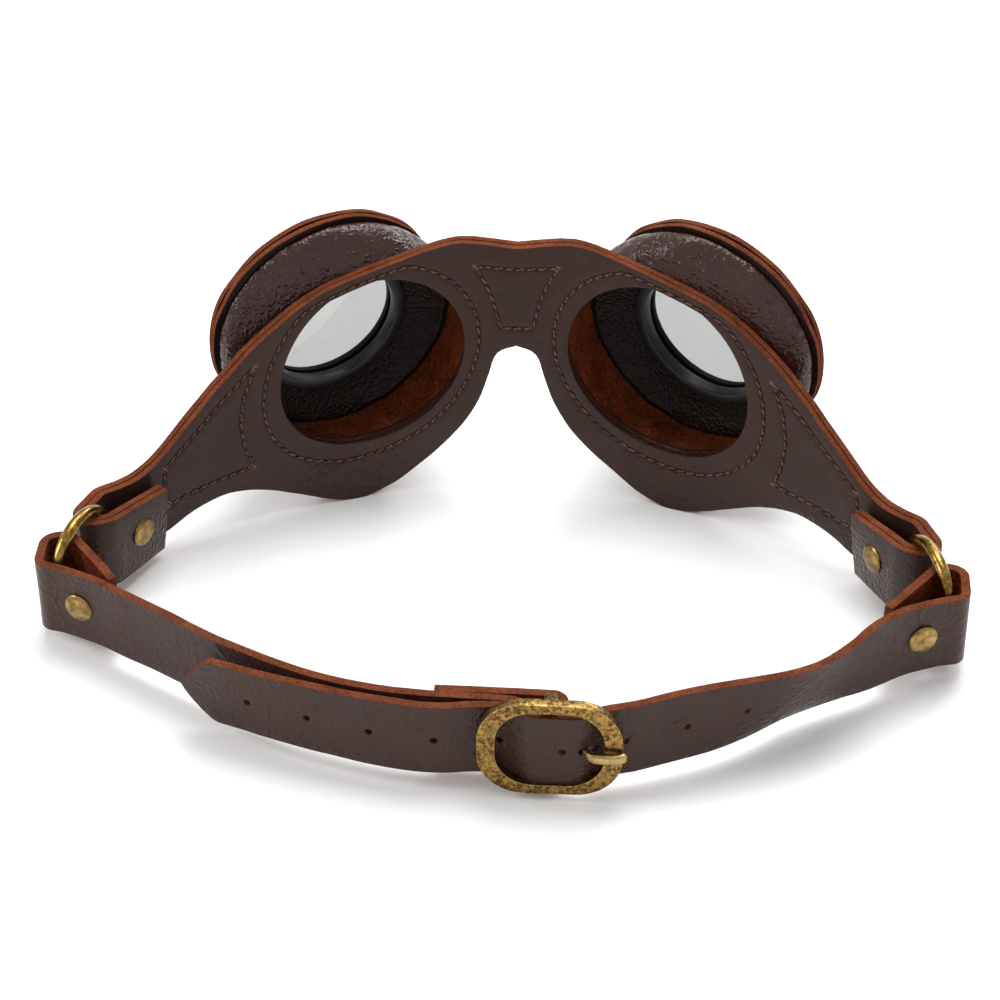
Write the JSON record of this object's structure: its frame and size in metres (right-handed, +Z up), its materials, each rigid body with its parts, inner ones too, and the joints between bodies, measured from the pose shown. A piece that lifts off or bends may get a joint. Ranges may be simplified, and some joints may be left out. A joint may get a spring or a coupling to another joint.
{
  "type": "motorcycle goggles",
  "caption": "Leather motorcycle goggles: curved two-layer mask with round eye cups and brimmed clear lenses, on a riveted leather strap with brass rings and a buckle.",
  "frame": {"origin": "on the table, under the middle of the object's box", "axes": "+X is the wearer's right and the longest way, +Y the way the wearer looks, +Z up"},
  "size_m": [0.208, 0.1402, 0.0717],
  "materials": {
    "brown_leather": "satin",
    "antique_brass": "worn, darkened in the hollows",
    "clear_glass": "clear",
    "black_plastic": "gloss"
  },
  "bodies": {
    "mask": {"bridge_patch": "brown_leather", "brim_back_left": "brown_leather", "brim_back_right": "brown_leather", "brim_front_left": "brown_leather", "brim_front_right": "brown_leather", "cup_collar_left": "brown_leather", "cup_collar_right": "brown_leather", "cup_wall_left": "brown_leather", "cup_wall_right": "brown_leather", "lens_left": "clear_glass", "lens_retainer_left": "black_plastic", "lens_retainer_right": "black_plastic", "lens_right": "clear_glass", "mask_inner_layer": "brown_leather", "mask_outer_layer": "brown_leather", "side_patch_left": "brown_leather", "side_patch_right": "brown_leather", "tab_rivet_back_left": "antique_brass", "tab_rivet_back_right": "antique_brass", "tab_rivet_left": "antique_brass", "tab_rivet_right": "antique_brass"},
    "ring_left": {"ring_left": "antique_brass"},
    "ring_right": {"ring_right": "antique_brass"},
    "band": {"strap_left": "brown_leather", "strap_right": "brown_leather", "strap_rivet_left": "antique_brass", "strap_rivet_back_left": "antique_brass", "strap_rivet_right": "antique_brass", "strap_rivet_back_right": "antique_brass", "buckle_seat_rivet": "antique_brass", "buckle_seat_rivet_back": "antique_brass"},
    "buckle_frame": {"buckle_frame": "antique_brass"},
    "buckle_prong": {"buckle_prong": "antique_brass"}
  },
  "joints": [
    {"name": "ring_left_swivel", "type": "hinge", "parent": "mask", "child": "ring_left", "pos_m": [-0.09197, 0.00115, 0.01332], "axis": [0, 0, 1], "range_deg": [-8, 8]},
    {"name": "band_swivel", "type": "hinge", "parent": "ring_left", "child": "band", "pos_m": [-0.09923, -0.01684, 0.01332], "axis": [0, 0, 1], "range_deg": [-7.5, 7.5]},
    {"name": "ring_right_swivel", "type": "hinge", "parent": "mask", "child": "ring_right", "pos_m": [0.09197, 0.00115, 0.01332], "axis": [0, 0, 1], "range_deg": [-8, 8]},
    {"name": "buckle_tilt", "type": "hinge", "parent": "band", "child": "buckle_frame", "pos_m": [0.0135, -0.06164, 0.01332], "axis": [0, 0, 1], "range_deg": [-1.2, 1.2]},
    {"name": "prong_lift", "type": "hinge", "parent": "buckle_frame", "child": "buckle_prong", "pos_m": [0.0135, -0.06164, 0.01332], "axis": [0, 0, -1], "range_deg": [0, 8]}
  ],
  "couplings": [
    {"joint": "band_swivel", "follows": "ring_left_swivel", "ratio": -0.9267},
    {"joint": "ring_right_swivel", "follows": "ring_left_swivel", "ratio": 1}
  ]
}
